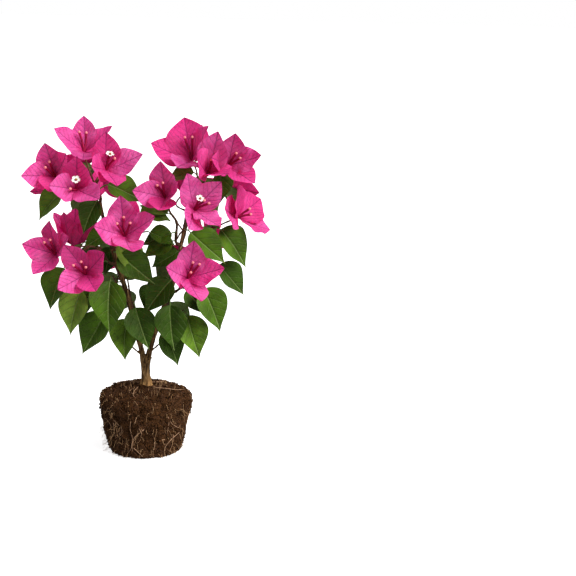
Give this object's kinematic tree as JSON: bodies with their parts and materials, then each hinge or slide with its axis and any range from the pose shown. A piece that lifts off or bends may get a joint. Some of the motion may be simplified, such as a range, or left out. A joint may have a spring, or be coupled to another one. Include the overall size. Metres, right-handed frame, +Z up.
{
  "type": "bougainvillea on its root ball",
  "caption": "Small flowering shrub lifted from its pot: short forked trunk on a tapered root ball, with sprays of pointed leaves and papery bract clusters.",
  "frame": {"origin": "middle of the flat underside of the root ball, where the plant stands", "axes": "+Z up along the trunk, +X towards the right bough, the front of the plant towards -Y"},
  "size_m": [0.2936, 0.2411, 0.4146],
  "materials": {
    "soil": "crumbly dark brown potting soil bound by fine roots",
    "bark": "rough brown bark with small ridges",
    "leaf": "deep green leaves with a slight gloss and paler veins",
    "bract": "thin papery magenta-pink bracts with a fine net of veins"
  },
  "bodies": {
    "root": {"root_ball": "soil", "trunk": "bark", "bough_left": "bark", "bough_right": "bark", "crown_left": "bract", "spray_left": "bract", "spray_centre": "bract", "skirt_left": "leaf", "skirt_middle": "leaf", "skirt_right": "leaf", "spray_low_right": "bract", "spray_inner": "bract", "crown_right": "bract", "spray_right": "bract", "back_crown_left": "bract", "back_left": "bract", "back_low": "bract", "back_crown_right": "bract", "back_right": "bract"}
  },
  "joints": []
}
